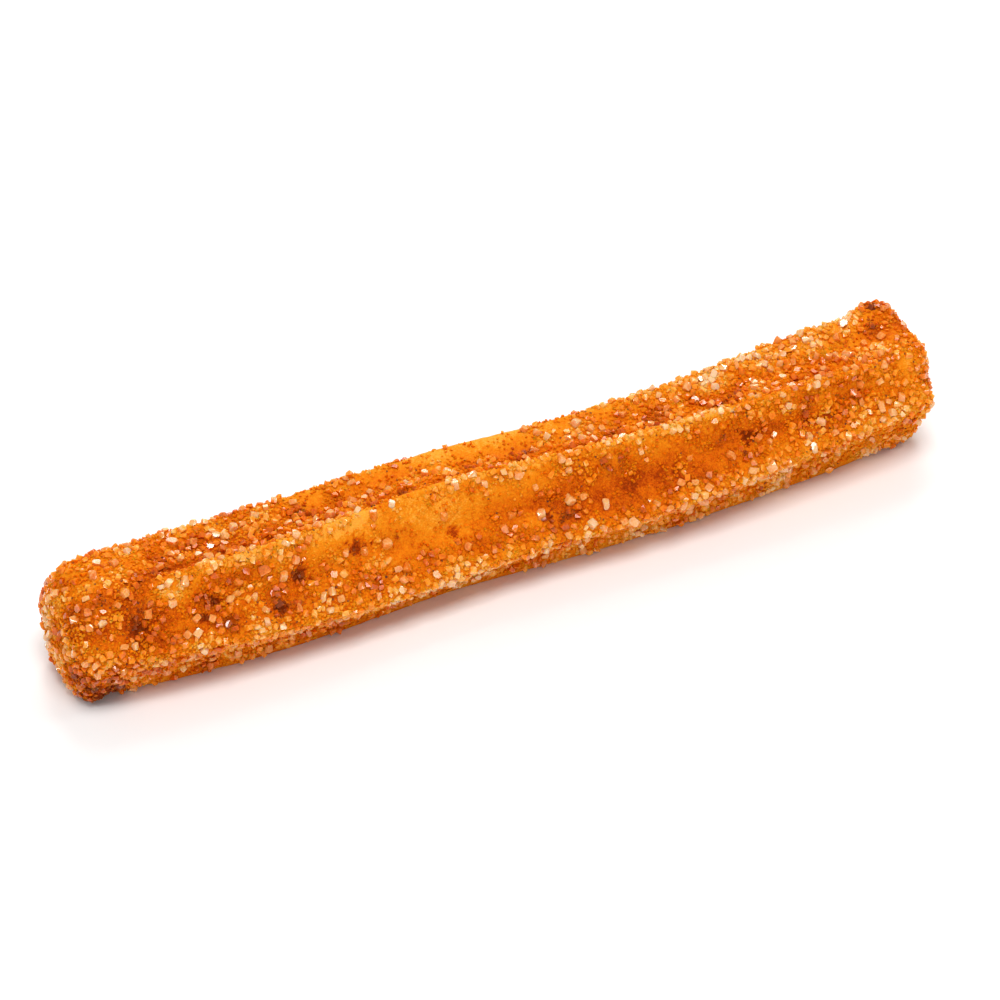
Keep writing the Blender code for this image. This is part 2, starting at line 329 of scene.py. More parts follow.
# Tints of the crystals: below 0 in dark spots, 0 where the frying fat has stained them, 1 where they are clean.
# The stain also carries the crust's painted light and shade.
COARSE_TINTS = (
    (-0.50, (0.34, 0.07, 0.012)),
    (0.00, (0.80, 0.20, 0.010)),
    (0.35, (0.90, 0.32, 0.050)),
    (0.70, (0.97, 0.48, 0.170)),
    (1.00, (1.00, 0.60, 0.350)),
)
MIDDLE_TINTS = (
    (-0.50, (0.24, 0.045, 0.008)),
    (0.00, (0.62, 0.11, 0.001)),
    (0.30, (0.79, 0.20, 0.003)),
    (0.58, (0.89, 0.30, 0.014)),
    (0.85, (0.95, 0.43, 0.090)),
    (1.00, (0.98, 0.55, 0.270)),
)
FINE_TINTS = (
    (-0.50, (0.24, 0.045, 0.008)),
    (0.00, (0.62, 0.11, 0.001)),
    (0.30, (0.74, 0.165, 0.002)),
    (0.60, (0.82, 0.23, 0.005)),
    (0.85, (0.88, 0.30, 0.016)),
    (1.00, (0.94, 0.39, 0.080)),
)
CINNAMON_TINTS = ((0.0, (0.12, 0.025, 0.004)), (1.0, (0.34, 0.090, 0.015)))
COARSE_LOOK = dict(stops=COARSE_TINTS, clearness=0.10, roughness=0.05, shine=1.0, painted_refraction=1.1)
MIDDLE_LOOK = dict(stops=MIDDLE_TINTS, clearness=0.0, roughness=0.12, shine=0.40, painted_refraction=0.8)
FINE_LOOK = dict(stops=FINE_TINTS, clearness=0.0, roughness=0.35, shine=0.03, painted_refraction=0.0)
# Painted light refracted inside a crystal: paler and darker places in its tint
PAINTED_REFRACTION_SIZE = 0.30 * MM  # of the paler and darker places inside a crystal

# The table
FLOOR_HALF = 1.5
FLOOR_TINTS = ((0.0, (0.86, 0.86, 0.855)), (1.0, (0.90, 0.90, 0.895)))
FLOOR_SHADE = 0.5
FLOOR_MOTTLES = ((60 * MM, 0.0, 0.5),)

# Camera and light
CAMERA_AZIMUTH = -27.5
CAMERA_ELEVATION = 37
CAMERA_DISTANCE = 0.75
CAMERA_LENS = 190
CAMERA_SENSOR = 36
WORLD_STRENGTH = 0.40
# Lights: azimuth, elevation, distance, width, watts
KEY_LIGHT = (-15, 73, 1.6, 0.8, 14.6)
FILL_LIGHT = (-12, 3, 1.2, 0.8, 4.4)
RIM_LIGHT = (152, 34, 1.2, 0.8, 5.5)
GLINT_LIGHTS = ((60, 50, 0.5, 0.08, 0.25), (-80, 45, 0.5, 0.08, 0.25), (170, 60, 0.5, 0.08, 0.25))


def smooth(value):
    value = min(max(value, 0.0), 1.0)
    return value * value * (3.0 - 2.0 * value)


def mix(low, high, share):
    return low + (high - low) * share


def hill(distance, reach):
    return math.exp(-((distance / reach) ** 2))


def ridge_noise(ridge, station, waves, ridge_offset, use_offset):
    return noise.noise(Vector((waves * station, ridge_offset * ridge, use_offset)))


@functools.lru_cache(maxsize=100_000)
def ridge_angle(ridge, station):
    """Where a ridge runs, in degrees up from the front. Ridge numbers go on past a full turn."""
    turns, ridge = divmod(ridge, RIDGES)
    spread = FRONT_SPREAD * math.cos(math.pi * (station - WIDEST_AT) / NARROW_AFTER)
    lean = {0: -spread, 1: spread}.get(ridge, 0.0)
    wander = RIDGE_WANDER * ridge_noise(ridge, station, *WANDER_WAVES)
    return 360.0 * turns + RIDGE_ANGLES[ridge] + lean + wander


@functools.lru_cache(maxsize=100_000)
def crest_radius(ridge, station):
    swell = sum(size * hill(station - at, reach) for at, reach, size in SWELLS)
    uneven = RIDGE_UNEVEN * ridge_noise(ridge % RIDGES, station, *UNEVEN_WAVES)
    return CREST_RADIUS * (1.0 + swell + uneven)


def section(phase, station):
    """Angle and radius of the crust. A whole phase is on a ridge, a half is the bottom of a flute."""
    ridge = math.floor(phase)
    share = phase - ridge
    low, high = ridge_angle(ridge, station), ridge_angle(ridge + 1, station)
    angle = math.radians(mix(low, high, share))
    crest = mix(crest_radius(ridge, station), crest_radius(ridge + 1, station), smooth(share))
    flat_sag = crest * (1.0 - math.cos(math.radians(high - low) / 2))
    depth = flat_sag + mix(*FLUTE_HOLLOWS, station)
    star = crest - depth * math.sin(math.pi * share) ** FLUTE_SHAPE
    near, far = (
        share_gone * (1.0 - smooth(from_tip / reach))
        for share_gone, from_tip, reach in zip(ROUND_SHARES, (station, 1.0 - station), ROUND_REACHES)
    )
    return angle, mix(star, mix(*ROUND_RADII, station), near + far)


def end_face(share):
    """A blunt end from its middle (0) to the side (1): how far out it is, and how far back."""
    turn = share * math.pi / 2
    power = 2.0 / END_SQUARENESS
    return math.sin(turn) ** power, 1.0 - math.cos(turn) ** power


def near_rounding(angle):
    """Reach of the near end's rounding, longest at the top."""
    upward = smooth(0.5 + 0.5 * math.cos(angle - math.radians(NEAR_TOP_ANGLE)))
    return mix(NEAR_ROUNDING, NEAR_TOP_ROUNDING, upward)


def axis_point(station):
    y = AXIS_Y - BOW * 4.0 * station * (1.0 - station) + KINK * hill(station - KINK_AT, KINK_REACH)
    return Vector(((station - 0.5) * LENGTH, y, AXIS_HEIGHT + END_RISE * (2.0 * station - 1.0) ** 2))


def lump_height(point):
    """Unevenness of the crust at a point of the smooth stick."""
    height = sum(depth * noise.noise(point / size) for size, depth in LUMPS)
    for station, degrees, tall, reach in NUBS:
        angle = math.radians(degrees)
        out = Vector((0.0, -math.cos(angle), math.sin(angle)))
        height += tall * hill((point - axis_point(station) - CREST_RADIUS * out).length, reach)
    return height


def side_share(along):
    """1 on the side of the stick, falling to 0 at the middle of its two ends."""
    return smooth(min(along, 1.0 - along) / CAP_SHARE)


def station_of(along):
    return min(max((along - CAP_SHARE) / (1.0 - 2.0 * CAP_SHARE), 0.0), 1.0)


def crust_point(phase, along):
    """A point of the crust. Along runs from 0 at the near tip to 1 at the far tip."""
    station = station_of(along)
    angle, radius = section(phase, station)
    near_edge = -LENGTH / 2 + near_rounding(angle)
    far_edge = LENGTH / 2 - FAR_ROUNDING
    x, out = mix(near_edge, far_edge, station), 1.0
    if along < CAP_SHARE:
        out, back = end_face(along / CAP_SHARE)
        x = mix(-LENGTH / 2, near_edge, back) + END_DIMPLE * hill(out, DIMPLE_REACH)
    if along > 1.0 - CAP_SHARE:
        out, back = end_face((1.0 - along) / CAP_SHARE)
        x = mix(LENGTH / 2, far_edge, back) - END_DIMPLE * hill(out, DIMPLE_REACH)
    outward = Vector((0.0, -math.cos(angle), math.sin(angle)))
    centre = axis_point(x / LENGTH + 0.5)
    slant = FAR_SLANT * smooth((station - SLANT_FROM) / (1.0 - SLANT_FROM)) * out * radius * outward.z
    point = centre + out * radius * outward + Vector((slant, 0.0, 0.0))
    return point + out * lump_height(point) * outward


def crust_frame(phase, along):
    """A point of the crust, its outward normal, and how much surface a small step covers there."""
    step = 1e-4
    point = crust_point(phase, along)
    across = (crust_point(phase + step, along) - point) / step
    onward = (crust_point(phase, along + step) - point) / step
    normal = onward.cross(across)
    return point, normal.normalized(), normal.length


# Sugar and spots over the crust


def turns_apart(phase, other):
    """The way from one phase to another, the short way round."""
    return (phase - other + RIDGES / 2) % RIDGES - RIDGES / 2


def patchwork(patches, phase, station):
    """The sum of a table's patches at one place of the crust."""
    amount = 0.0
    for at, at_phase, reach, phase_reach, more in patches:
        if abs(station - at) < PATCH_ENDS * reach:
            amount += more * hill(station - at, reach) * hill(turns_apart(phase, at_phase), phase_reach)
    return amount


def clumps(table, point, offset=0.0):
    shift = Vector((offset, offset, offset))
    return sum(share * noise.noise(point / size + shift) for size, share in table)


def creases(phase, station):
    """What the creases along the ridges do at one place: height, extra sugar and extra frying, the frying being a
    painted highlight on the crest and painted shade in the groove beside it.
    """
    ridge = math.floor(phase + 0.5)
    strength = CREASED[ridge % RIDGES] * smooth((min(station, 1.0 - station) - CREASE_FADES[0]) / CREASE_FADES[1])
    strength *= 1.0 + CREASE_UNEVEN * ridge_noise(ridge % RIDGES, station, *CREASE_WAVES)
    height, sugar, frying_and_painted_shading = 0.0, 0.0, 0.0
    for offset, reach, tall, more_sugar, more_frying_and_painted_shading in CREASES:
        here = strength * hill(phase - ridge - offset, reach)
        height += tall * here
        sugar += more_sugar * here
        # painted highlight on the crests and painted shade in the grooves
        frying_and_painted_shading += more_frying_and_painted_shading * here
    return height, sugar, frying_and_painted_shading


def sugar_at(point, phase, station):
    """How thickly the sugar lies, from 0 to 1."""
    amount = SUGAR_EVENLY + SUGAR_ON_RIDGES * math.cos(math.tau * phase) + clumps(SUGAR_CLUMPS, point)
    amount = max(amount, SUGAR_THIN) + patchwork(SUGAR_PATCHES, phase, station) + creases(phase, station)[1]
    return min(max(amount, SUGAR_LEAST), 1.0)


def frying_and_painted_light_at(point, phase, station):
    """How dark the dough is fried, about 0: below 0 it is more golden. Besides frying it carries painted light: a
    painted highlight on the crests, painted shade in the grooves, a paler painted light under the stick, partly a
    painted shadow low on the front flute, and flutes made darker and redder than the ridges.
    """
    amount = patchwork(FRYING_AND_PAINTED_LIGHT_PATCHES, phase, station) + clumps(FRIED_CLUMPS, point, FRIED_OFFSET)
    flute = smooth(station / ROUND_REACHES[0]) * math.sin(math.pi * (phase % 1.0)) ** 2
    return amount + creases(phase, station)[2] + DARKER_IN_FLUTES * (flute - 0.5)


def spot_centres():
    """The middle of each dark spot, with its reach."""
    centres = []
    for station, phase, reach in DARK_SPOTS:
        along = mix(CAP_SHARE, 1.0 - CAP_SHARE, station)
        centres.append((crust_point(phase, along), reach))
    return centres


def spot_at(point, centres):
    """How dark the crust is with spots, from 0 to 1, with a ragged edge."""
    dark = 0.0
    strength, cut = SPOT_EDGE
    for centre, reach in centres:
        distance = (point - centre).length
        if distance < SPOT_ENDS * reach:
            ragged = 1.0
            for size, amount in SPOT_RAGGED:
                ragged += amount * noise.noise(point / (size * reach))
            distance *= max(ragged, SPOT_RAGGED_LEAST)
            dark = max(dark, smooth(strength * hill(distance, SPOT_FALL * reach) - cut))
    return dark


def fine_relief(point, phase):
    """Small unevenness of the fried skin: blisters, pits, and the nozzle's streaks along the stick."""
    height = sum(depth * noise.noise(point / size) for size, depth in FINE_LUMPS)
    streak = noise.noise(Vector((point.x / STREAK_LENGTH, STREAKS_PER_RIDGE * phase, STREAK_OFFSET)))
    return height + STREAK_HEIGHT * streak


# The skin


def skin_places():
    """Where the skin's points lie, ring by ring from the near tip to the far one.

    Each is given by its turns from the front, from -0.5 to 0.5, and its share of the rings.
    """
    turns_round = [(number / SKIN_AROUND + 0.5) % 1.0 - 0.5 for number in range(SKIN_AROUND)]
    rings = [(turn, number / SKIN_ALONG) for number in range(1, SKIN_ALONG) for turn in turns_round]
    return [(0.0, 0.0), *rings, (0.0, 1.0)]


def skin_faces():
    """Four-sided faces between the rings, and a fan at each tip."""
    tip = 1 + SKIN_AROUND * (SKIN_ALONG - 1)
    ring = 1 + np.arange(SKIN_AROUND)
    following = np.roll(ring, -1)
    near = [(0, a, b) for a, b in zip(ring.tolist(), following.tolist())]
    starts = SKIN_AROUND * np.arange(SKIN_ALONG - 2)[:, None]
    sides = [starts + ring, starts + ring + SKIN_AROUND, starts + following + SKIN_AROUND, starts + following]
    last = tip - 1 - SKIN_AROUND
    far = [(tip, last + b, last + a) for a, b in zip(ring.tolist(), following.tolist())]
    return near + np.stack(sides, axis=2).reshape(-1, 4).tolist() + far


def make_skin():
    """The crust itself: the part's stick, with finer faces, finer relief and what its material needs."""
    centres = spot_centres()
    places = skin_places()
    sugar, fried_and_painted_light, spots, points = [], [], [], []
    for turn, ring in places:
        phase = RIDGES * turn
        along = float(np.interp(ring, (0, SKIN_CAP, 1 - SKIN_CAP, 1), (0, CAP_SHARE, 1 - CAP_SHARE, 1)))
        point = crust_point(phase, along)
        station = station_of(along)
        angle = section(phase, station)[0]
        outward = Vector((0.0, -math.cos(angle), math.sin(angle)))
        dark = spot_at(point, centres)
        sugar.append(sugar_at(point, phase, station) * (1.0 - SUGAR_OFF_SPOTS * dark))
        fried_and_painted_light.append(frying_and_painted_light_at(point, phase, station))
        spots.append(dark)
        rise = creases(phase, station)[0] * side_share(along)
        point += outward * (fine_relief(point, phase) + rise - SPOT_DEPTH * dark)
        point.z = max(point.z, 0.0)
        points.append(tuple(point))
    mesh = bpy.data.meshes.new("churro_crust")
    mesh.from_pydata(points, [], skin_faces())
    add_values(mesh, "sugar", sugar)
    add_values(mesh, "fried_and_painted_light", fried_and_painted_light)
    add_values(mesh, "spots", spots)
    unroll(mesh, np.array(places))
    mesh.shade_smooth()
    return new_object("churro_crust", mesh)


def add_values(mesh, name, values):
    attribute = mesh.attributes.new(name, "FLOAT", "POINT")
    attribute.data.foreach_set("value", np.asarray(values, np.float32))


def unroll(mesh, places):
    """A map that lays the stick out flat: once round is its width, and end to end its height."""
    corners = np.empty(len(mesh.loops), np.int32)
    mesh.loops.foreach_get("vertex_index", corners)
    uv = places[corners] + np.array((0.5, 0.0))
    starts = np.empty(len(mesh.polygons), np.int32)
    mesh.polygons.foreach_get("loop_start", starts)
    ends = np.append(starts[1:], len(uv))
    face = np.repeat(np.arange(len(starts)), ends - starts)
    lowest = np.minimum.reduceat(uv[:, 0], starts)
    highest = np.maximum.reduceat(uv[:, 0], starts)
    wraps = (highest - lowest > 0.5)[face] & (uv[:, 0] < 0.5)
    uv[wraps, 0] += 1.0
    layer = mesh.uv_layers.new(name="OFBake")
    layer.data.foreach_set("uv", (uv * SKIN_MAP).astype(np.float32).ravel())


def new_object(name, mesh):
    obj = bpy.data.objects.new(name, mesh)
    bpy.context.scene.collection.objects.link(obj)
    return obj


# Scattered sugar


def vertex_values(mesh, name):
    values = np.empty(len(mesh.vertices), np.float32)
    mesh.attributes[name].data.foreach_get("value", values)
    return values


def skin_samples(skin, count, follows, rng):
    """Random places on the skin, more where the sugar lies thicker, with the sugar there and how it is stained, by
    frying and by the crust's painted light and shade.
    """
    mesh = skin.data
    mesh.calc_loop_triangles()
    points = np.empty(3 * len(mesh.vertices))
    mesh.vertices.foreach_get("co", points)
    points = points.reshape(-1, 3)
    corners = np.empty(3 * len(mesh.loop_triangles), np.int32)
    mesh.loop_triangles.foreach_get("vertices", corners)
    corners = corners.reshape(-1, 3)
    sugar, fried_and_painted_light, spots = (vertex_values(mesh, name)[corners].mean(axis=1) for name in ("sugar", "fried_and_painted_light", "spots"))
    a, b, c = (points[corners[:, k]] for k in range(3))
    normals = np.cross(b - a, c - a)
    areas = np.linalg.norm(normals, axis=1)
    weight = areas * sugar**follows * (a[:, 2] > SUGAR_LOWEST)
    chosen = rng.choice(len(corners), size=count, p=weight / weight.sum())
    u, v = rng.random((2, count, 1))
    over = u + v > 1.0
    u, v = np.where(over, 1.0 - u, u), np.where(over, 1.0 - v, v)
    places = a[chosen] + u * (b - a)[chosen] + v * (c - a)[chosen]
    stains = STAINED_BY_FRYING_AND_PAINTED_LIGHT * fried_and_painted_light + STAINED_BY_SPOTS * spots
    return places, normals[chosen] / areas[chosen, None], sugar[chosen], stains[chosen]


class Crowd:
    """The crystals placed so far, for keeping each new one clear of the others."""

    def __init__(self):
        self.cells = {}

    def near(self, cell):
        for i in (-1, 0, 1):
            for j in (-1, 0, 1):
                for k in (-1, 0, 1):
                    yield from self.cells.get((cell[0] + i, cell[1] + j, cell[2] + k), ())

    def add(self, place, length, apart):
        """Adds a crystal, or returns False if it would stand too near another."""
        cell = tuple(int(value // GRID_CELL) for value in place)
        x, y, z = place
        for ox, oy, oz, other in self.near(cell):
            reach = apart * (length + other) / 2
            if (x - ox) ** 2 + (y - oy) ** 2 + (z - oz) ** 2 < reach * reach:
                return False
        self.cells.setdefault(cell, []).append((x, y, z, length))
        return True


def settle(skin, crowd, rng, count, lengths, skew, apart, follows):
    """Places, normals, lengths, and the sugar and stains there, for one kind of crystal, largest first."""
    tries = TRIES * count
    places, normals, sugar, stains = skin_samples(skin, tries, follows, rng)
    sizes = np.sort(mix(*lengths, rng.random(tries) ** skew))[::-1]
    kept = []
    for index, (place, length) in enumerate(zip(places.tolist(), sizes.tolist())):
        if crowd.add(place, length, apart):
            kept.append(index)
        if len(kept) == count:
            break
    return places[kept], normals[kept], sizes[kept], sugar[kept], stains[kept]


def frames_on(normals, lean, rng):
    """A turn for each crystal: flat on the crust, any way round, and leaning a little."""
    spin = rng.normal(size=normals.shape)
    side = np.cross(normals, spin)
    side /= np.linalg.norm(side, axis=1)[:, None]
    frames = np.stack([side, np.cross(normals, side), normals], axis=2)
    angles = rng.normal(scale=lean, size=normals.shape)
    return frames @ turns(angles)


def turns(angles):
    """Rotation matrices for turns about X, then Y, then Z."""
    made = np.eye(3)
    for axis in range(3):
        c, s = np.cos(angles[:, axis]), np.sin(angles[:, axis])
        turn = np.zeros((len(angles), 3, 3))
        i, j = (axis + 1) % 3, (axis + 2) % 3
        turn[:, axis, axis] = 1.0
        turn[:, i, i], turn[:, j, j] = c, c
        turn[:, j, i], turn[:, i, j] = s, -s
        made = turn @ made
    return made


def cut_corners(bm, rng, cuts):
    """The corners of a box, with some of them cut off, by a different amount along each edge."""
    points = []
    cut = set(rng.permutation(len(bm.verts))[:cuts].tolist())
    for index, vertex in enumerate(bm.verts):
        if index not in cut:
            points.append(tuple(vertex.co))
            continue
        for edge in vertex.link_edges:
            share = rng.uniform(*CUT_CORNERS)
            points.append(tuple(vertex.co.lerp(edge.other_vert(vertex).co, share)))
    return points


def wrapped(points):
    """The corners and triangles of the tightest closed shape around some points."""
    bm = bmesh.new()
    for point in points:
        bm.verts.new(point)
    hull = bmesh.ops.convex_hull(bm, input=bm.verts[:])
    bmesh.ops.delete(bm, geom=hull["geom_interior"], context="VERTS")
    bmesh.ops.triangulate(bm, faces=bm.faces[:])
    bmesh.ops.recalc_face_normals(bm, faces=bm.faces[:])
    bm.verts.index_update()
    corners = np.array([tuple(vertex.co) for vertex in bm.verts])
    faces = np.array([[vertex.index for vertex in face.verts] for face in bm.faces])
    bm.free()
    return corners, faces


def make_prototypes(cuts, crooked, rng):
    """A few crooked crystals about one unit long: the corners and triangles of each."""
    shapes = []
    for _ in range(PROTOTYPES):
        bm = bmesh.new()
        bmesh.ops.create_cube(bm, size=PROTOTYPE_SIDE)
        for vertex in bm.verts:
            vertex.co += Vector(rng.uniform(-crooked, crooked, 3))
        shapes.append(wrapped(cut_corners(bm, rng, cuts)))
        bm.free()
    return shapes


def join_crystals(name, crystals, tints, rng):
    """One mesh of many crystals, each given by its corners, its triangles, and how high each corner stands.

    Each crystal has its own cell in the map, so that its colour is baked by itself.
    """
    cells = math.ceil(math.sqrt(len(crystals)))
    points, faces, corner_tints_with_painted_light, maps, start = [], [], [], [], 0
    for index, ((corners, triangles, heights), tint_and_painted_light) in enumerate(zip(crystals, tints)):
        points.append(corners)
        faces.append(triangles + start)
        # Painted light in each crystal's tint: paler tips and a dough-tinted base as painted see-through light,
        # and painted inner reflections from corner to corner
        corner_tints_with_painted_light.append(tint_and_painted_light + PAINTED_SEE_THROUGH_AT_TIP * (heights - TIP_MIDDLE) + CRACKS_AND_PAINTED_REFLECTIONS * rng.normal(size=len(corners)))
        x, y = ((corners[:, axis] - corners[:, axis].min()) / np.ptp(corners[:, axis]) for axis in (0, 1))
        across = (x + MAP_SLANT * y) / (1.0 + MAP_SLANT)
        up = MAP_UPRIGHT * heights + (1.0 - MAP_UPRIGHT) * y
        inside = MAP_MARGIN + (1.0 - 2.0 * MAP_MARGIN) * np.stack([across, up], axis=1)
        cell = np.array((index % cells, index // cells))
        maps.append((cell + inside)[triangles].reshape(-1, 2) / cells)
        start += len(corners)
    points = np.concatenate(points)
    points[:, 2] = np.maximum(points[:, 2], 0.0)
    mesh = bpy.data.meshes.new(name)
    mesh.from_pydata(points.tolist(), [], np.concatenate(faces).tolist())
    add_values(mesh, "tint_and_painted_light", np.concatenate(corner_tints_with_painted_light))
    layer = mesh.uv_layers.new(name="OFBake")
    layer.data.foreach_set("uv", np.concatenate(maps).astype(np.float32).ravel())
    return new_object(name, mesh)


def tints_of(places, sugar, stains, rng):
    """How pale each crystal is, from about 0 to 1: by chance, in clusters, and stained where the dough is dark,
    its painted light and shade included.
    """
    clusters = np.array([clumps(PALE_CLUSTERS, Vector(place), CLUSTER_OFFSET) for place in places])
    chance = PALE_BY_DRAW * rng.random(len(places))
    return PALE_AT_LEAST + chance + PALE_BY_SUGAR * sugar + clusters - stains


def make_crystals(name, skin, crowd, rng, stands, cuts, crooked, heights, lean, **amounts):
    """One piece with every crystal of a kind, scattered over the crust."""
    places, normals, lengths, sugar, stains = settle(skin, crowd, rng, **amounts)
    count = len(places)
    shapes = make_prototypes(cuts, crooked, rng)
    shares = [np.ones(count), rng.uniform(*WIDTHS, count), rng.uniform(*heights, count)]
    sides = lengths[:, None] * np.stack(shares, axis=1)
    frames = frames_on(normals, lean, rng)
    middles = places + normals * (mix(*stands, rng.random(count) ** FEW_STAND) * lengths)[:, None]
    crystals = []
    for index in range(count):
        corners, triangles = shapes[index % PROTOTYPES]
        turned = (corners * sides[index]) @ frames[index].T
        stand = turned @ normals[index] / lengths[index] + 0.5
        crystals.append((turned + middles[index], triangles, stand))
    return join_crystals(name, crystals, tints_of(places.tolist(), sugar, stains, rng), rng)


def scatter_grains(rng):
    """Places for the coarse grains, evenly spread over the crust and never closer than their spacing."""
    places = []
    most_cover = COVER_MARGIN * max(crust_frame(phase / 4, 0.5)[2] for phase in range(4 * RIDGES))
    while len(places) < GRAINS:
        point, normal, cover = crust_frame(rng.uniform(0, RIDGES), rng.uniform(TIP_MARGIN, 1 - TIP_MARGIN))
        if rng.random() * most_cover > cover or point.z < GRAIN_LOWEST:
            continue
        if all((point - other).length > GRAIN_SPACING for other, _ in places):
            places.append((point, normal))
    return places


def make_grains(crowd):
    """The part's own coarse crystals, with their corners cut."""
    rng = random.Random(SEED)
    cuts = np.random.default_rng(SEED)
    crystals, places = [], []
    for point, normal in scatter_grains(rng):
        length = mix(*GRAIN_LENGTHS, rng.random() ** 2)
        bm = bmesh.new()
        bmesh.ops.create_cube(bm, size=1.0)
        sides = length * Vector((1.0, rng.uniform(*GRAIN_WIDTHS), rng.uniform(*GRAIN_HEIGHTS)))
        turn = Euler([rng.uniform(0, math.tau) for _ in range(3)]).to_matrix()
        for vertex in bm.verts:
            crooked = Vector([rng.uniform(-GRAIN_CROOKED, GRAIN_CROOKED) for _ in range(3)])
            vertex.co = turn @ ((vertex.co + crooked) * sides) + point + normal * length * GRAIN_STANDS
        corners, triangles = wrapped(cut_corners(bm, cuts, CUBE_CORNERS))
        bm.free()
        heights = (corners - np.array(point)) @ np.array(normal) / length + 0.5
        crystals.append((corners, triangles, heights))
        places.append(tuple(point))
        crowd.add(tuple(point), length, 0.0)
    sugar = np.full(len(places), SUGAR_EVENLY)
    return join_crystals("sugar_coarse", crystals, tints_of(places, sugar, 0.0 * sugar, cuts), cuts)


# Materials


def new_material(name):
    material = bpy.data.materials.new(name)
    material.use_nodes = True
    tree = material.node_tree
    return material, tree, tree.nodes["Principled BSDF"]


def maths(tree, operation, first, second):
    node = tree.nodes.new("ShaderNodeMath")
    node.operation = operation
    for socket, value in zip(node.inputs, (first, second)):
        if isinstance(value, (int, float)):
            socket.default_value = value
        else:
            tree.links.new(value, socket)
    return node.outputs[0]


def noise_of(tree, size, offset=0.0):
    """Noise about 0, with features of that size in metres."""
    place = tree.nodes.new("ShaderNodeTexCoord").outputs["Object"]
    node = tree.nodes.new("ShaderNodeTexNoise")
    node.noise_dimensions = "4D"
    node.inputs["W"].default_value = offset
    node.inputs["Scale"].default_value = 1.0 / size
    node.inputs["Detail"].default_value = NOISE_DETAIL
    tree.links.new(place, node.inputs["Vector"])
    return maths(tree, "SUBTRACT", node.outputs[0], 0.5)


def value_of(tree, name):
    node = tree.nodes.new("ShaderNodeAttribute")
    node.attribute_name = name
    return node.outputs["Fac"]


def weighted(tree, base, *terms):
    """base plus each value times its weight."""
    total = base
    for value, weight in terms:
        total = maths(tree, "ADD", total, maths(tree, "MULTIPLY", value, weight))
    return total


def mottles(tree, table):
    """The weighted noises of a table, for weighted()."""
    return [(noise_of(tree, size, offset), weight) for size, offset, weight in table]


def ramp(tree, value, stops):
    node = tree.nodes.new("ShaderNodeValToRGB")
    tree.links.new(value, node.inputs[0])
    elements = node.color_ramp.elements
    while len(elements) < len(stops):
        elements.new(0.5)
    for element, (place, colour) in zip(elements, stops):
        element.position = place
        element.color = (*colour, 1.0)
    return node.outputs[0]


def bump(tree, shader, height, depth):
    node = tree.nodes.new("ShaderNodeBump")
    node.inputs["Distance"].default_value = depth
    tree.links.new(height, node.inputs["Height"])
    tree.links.new(node.outputs[0], shader.inputs["Normal"])


def crust_material():
    """Fried dough: golden where it is bare, deeper orange where it fried longer, brown at the spots. Its frying
    value also carries painted light: highlights on the crests, shade in the grooves beside them, a paler crust
    under the stick, and partly a shadow on the front flute.
    """
    material, tree, shader = new_material("fried_crust")
    values = [(value_of(tree, name), weight) for name, weight in CRUST_VALUES]
    shade = weighted(tree, CRUST_SHADE, *mottles(tree, CRUST_MOTTLES), *values)
    tree.links.new(ramp(tree, shade, CRUST_TINTS), shader.inputs["Base Color"])
    rough = weighted(tree, CRUST_ROUGHNESS, *mottles(tree, ROUGHNESS_MOTTLES))
    tree.links.new(rough, shader.inputs["Roughness"])
    shader.inputs["IOR"].default_value = 1.40
    shader.inputs["Specular IOR Level"].default_value = 0.03
    shader.inputs["Subsurface Weight"].default_value = 0.25
    shader.inputs["Subsurface Radius"].default_value = (1.0, 0.35, 0.10)
    shader.inputs["Subsurface Scale"].default_value = 0.9 * MM
    bump(tree, shader, weighted(tree, 0.0, *mottles(tree, BUMP_MOTTLES)), BUMP_DEPTH)
    return material


def sugar_material(name, stops, clearness, roughness, shine, painted_refraction):
    """Sugar: part clear, part milky, each crystal with its own tint and with paler and darker places inside, which
    are painted refraction; its tint also carries painted see-through light.
    """
    material, tree, shader = new_material(name)
    lowest = stops[0][0]
    # painted refraction: paler and darker places inside each crystal
    tint_and_painted_light = weighted(tree, -lowest, (value_of(tree, "tint_and_painted_light"), 1.0), (noise_of(tree, PAINTED_REFRACTION_SIZE), painted_refraction))
    share = maths(tree, "DIVIDE", tint_and_painted_light, 1.0 - lowest)
    stops = [((place - lowest) / (1.0 - lowest), colour) for place, colour in stops]
    tree.links.new(ramp(tree, share, stops), shader.inputs["Base Color"])
    shader.inputs["Roughness"].default_value = roughness
    shader.inputs["IOR"].default_value = 1.50
    shader.inputs["Specular IOR Level"].default_value = shine
    shader.inputs["Transmission Weight"].default_value = clearness
    shader.inputs["Subsurface Weight"].default_value = 0.9
    shader.inputs["Subsurface Radius"].default_value = (1.0, 0.6, 0.3)
    shader.inputs["Subsurface Scale"].default_value = 0.5 * MM
    return material


def cinnamon_material():
    material, tree, shader = new_material("cinnamon")
    colour = ramp(tree, value_of(tree, "tint_and_painted_light"), CINNAMON_TINTS)
    tree.links.new(colour, shader.inputs["Base Color"])
    shader.inputs["Roughness"].default_value = 0.85
    return material


def floor_material():
    material, tree, shader = new_material("pale_table")
    shade = weighted(tree, FLOOR_SHADE, *mottles(tree, FLOOR_MOTTLES))
    tree.links.new(ramp(tree, shade, FLOOR_TINTS), shader.inputs["Base Color"])
    shader.inputs["Roughness"].default_value = 0.9
    return material


# Table, light and camera


def make_floor():
    bm = bmesh.new()
    bmesh.ops.create_grid(bm, x_segments=2, y_segments=2, size=FLOOR_HALF)
    mesh = bpy.data.meshes.new("table_top")
    bm.to_mesh(mesh)
    bm.free()
    floor = new_object("table_top", mesh)
    mesh.materials.append(floor_material())
    return floor


